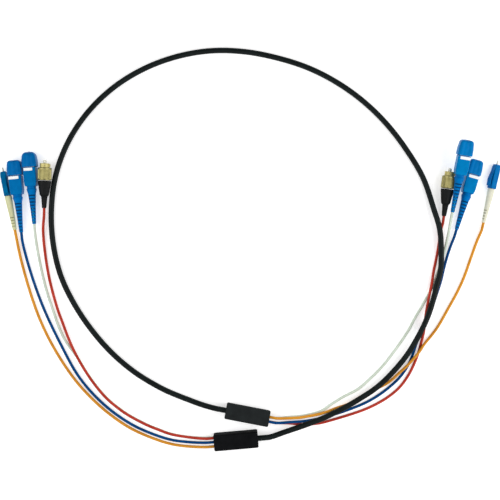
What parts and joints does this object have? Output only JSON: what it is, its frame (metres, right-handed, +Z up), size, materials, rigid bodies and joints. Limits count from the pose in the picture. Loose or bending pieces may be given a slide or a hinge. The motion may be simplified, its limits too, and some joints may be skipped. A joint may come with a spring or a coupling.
{
  "type": "waterproof fibre optic breakout cable",
  "caption": "Outdoor fibre optic cable lying in a loop, with a breakout sleeve at each end and coloured pigtails ending in LC, SC and FC connectors.",
  "frame": {"origin": "on the floor under the middle of the laid-out cable's box", "axes": "+Z up from the floor, +X to the picture's right, +Y to the picture's top, the way the connectors point"},
  "size_m": [0.3577, 0.2879, 0.021],
  "materials": {
    "black_jacket": "extruded polyethylene jacket, satin",
    "black_sleeve": "moulded, fine matt",
    "orange_jacket": "extruded PVC jacket, satin",
    "blue_jacket": "extruded PVC jacket, satin",
    "white_jacket": "extruded PVC jacket, satin",
    "red_jacket": "extruded PVC jacket, satin",
    "blue_housing": "moulded, semi-gloss",
    "blue_cap": "moulded, soft satin",
    "blue_boot": "moulded elastomer, matt",
    "plug_frame": "moulded, satin",
    "teal_housing": "moulded, semi-gloss",
    "white_boot": "moulded elastomer, matt",
    "black_boot": "moulded elastomer, matt",
    "nut_metal": "knurled, nickel plated",
    "body_metal": "turned, nickel plated",
    "ceramic": "polished zirconia"
  },
  "bodies": {
    "cable": {"main_cable": "black_jacket", "sleeve_left": "black_sleeve", "sleeve_right": "black_sleeve", "pigtail_orange_left": "orange_jacket", "pigtail_blue_left": "blue_jacket", "pigtail_white_left": "white_jacket", "pigtail_red_left": "red_jacket", "pigtail_orange_right": "orange_jacket", "pigtail_blue_right": "blue_jacket", "pigtail_white_right": "white_jacket", "pigtail_red_right": "red_jacket", "lc_left_housing": "teal_housing", "lc_left_ferrule": "ceramic", "lc_left_boot": "white_boot", "sc_blue_left_plug_frame": "plug_frame", "sc_blue_left_ferrule": "ceramic", "sc_blue_left_boot": "blue_boot", "sc_white_left_plug_frame": "plug_frame", "sc_white_left_ferrule": "ceramic", "sc_white_left_boot": "blue_boot", "fc_left_body": "body_metal", "fc_left_ferrule": "ceramic", "fc_left_boot": "black_boot", "lc_right_housing": "teal_housing", "lc_right_ferrule": "ceramic", "lc_right_boot": "white_boot", "sc_blue_right_plug_frame": "plug_frame", "sc_blue_right_ferrule": "ceramic", "sc_blue_right_boot": "blue_boot", "sc_white_right_plug_frame": "plug_frame", "sc_white_right_ferrule": "ceramic", "sc_white_right_boot": "blue_boot", "fc_right_body": "body_metal", "fc_right_ferrule": "ceramic", "fc_right_boot": "black_boot"},
    "sc_blue_left_grip": {"sc_blue_left_housing": "blue_housing"},
    "sc_blue_left_dust_cap": {"sc_blue_left_cap": "blue_cap"},
    "sc_white_left_grip": {"sc_white_left_housing": "blue_housing"},
    "sc_white_left_dust_cap": {"sc_white_left_cap": "blue_cap"},
    "fc_left_coupling_nut": {"fc_left_nut": "nut_metal"},
    "sc_blue_right_grip": {"sc_blue_right_housing": "blue_housing"},
    "sc_blue_right_dust_cap": {"sc_blue_right_cap": "blue_cap"},
    "sc_white_right_grip": {"sc_white_right_housing": "blue_housing"},
    "sc_white_right_dust_cap": {"sc_white_right_cap": "blue_cap"},
    "fc_right_coupling_nut": {"fc_right_nut": "nut_metal"}
  },
  "joints": [
    {"name": "sc_blue_left_grip_slide", "type": "slide", "parent": "cable", "child": "sc_blue_left_grip", "axis": [-0.0923, 0.9951, 0.0349], "range_m": [-0.0015, 0]},
    {"name": "sc_blue_left_cap_pull", "type": "slide", "parent": "cable", "child": "sc_blue_left_dust_cap", "axis": [-0.0923, 0.9951, 0.0349], "range_m": [0, 0.012]},
    {"name": "sc_white_left_grip_slide", "type": "slide", "parent": "cable", "child": "sc_white_left_grip", "axis": [-0.0662, 0.9972, 0.0349], "range_m": [-0.0015, 0]},
    {"name": "sc_white_left_cap_pull", "type": "slide", "parent": "cable", "child": "sc_white_left_dust_cap", "axis": [-0.0662, 0.9972, 0.0349], "range_m": [0, 0.012]},
    {"name": "fc_left_nut_spin", "type": "hinge", "parent": "cable", "child": "fc_left_coupling_nut", "pos_m": [-0.14655, 0.05314, 0.00542], "axis": [0.0348, 0.9956, 0.0872], "continuous": true},
    {"name": "sc_blue_right_grip_slide", "type": "slide", "parent": "cable", "child": "sc_blue_right_grip", "axis": [0.2721, 0.9616, 0.0349], "range_m": [-0.0015, 0]},
    {"name": "sc_blue_right_cap_pull", "type": "slide", "parent": "cable", "child": "sc_blue_right_dust_cap", "axis": [0.2721, 0.9616, 0.0349], "range_m": [0, 0.012]},
    {"name": "sc_white_right_grip_slide", "type": "slide", "parent": "cable", "child": "sc_white_right_grip", "axis": [0.1536, 0.9695, 0.1908], "range_m": [-0.0015, 0]},
    {"name": "sc_white_right_cap_pull", "type": "slide", "parent": "cable", "child": "sc_white_right_dust_cap", "axis": [0.1536, 0.9695, 0.1908], "range_m": [0, 0.012]},
    {"name": "fc_right_nut_spin", "type": "hinge", "parent": "cable", "child": "fc_right_coupling_nut", "pos_m": [0.14155, 0.0472, 0.00542], "axis": [0.1128, 0.9898, 0.0872], "continuous": true}
  ]
}
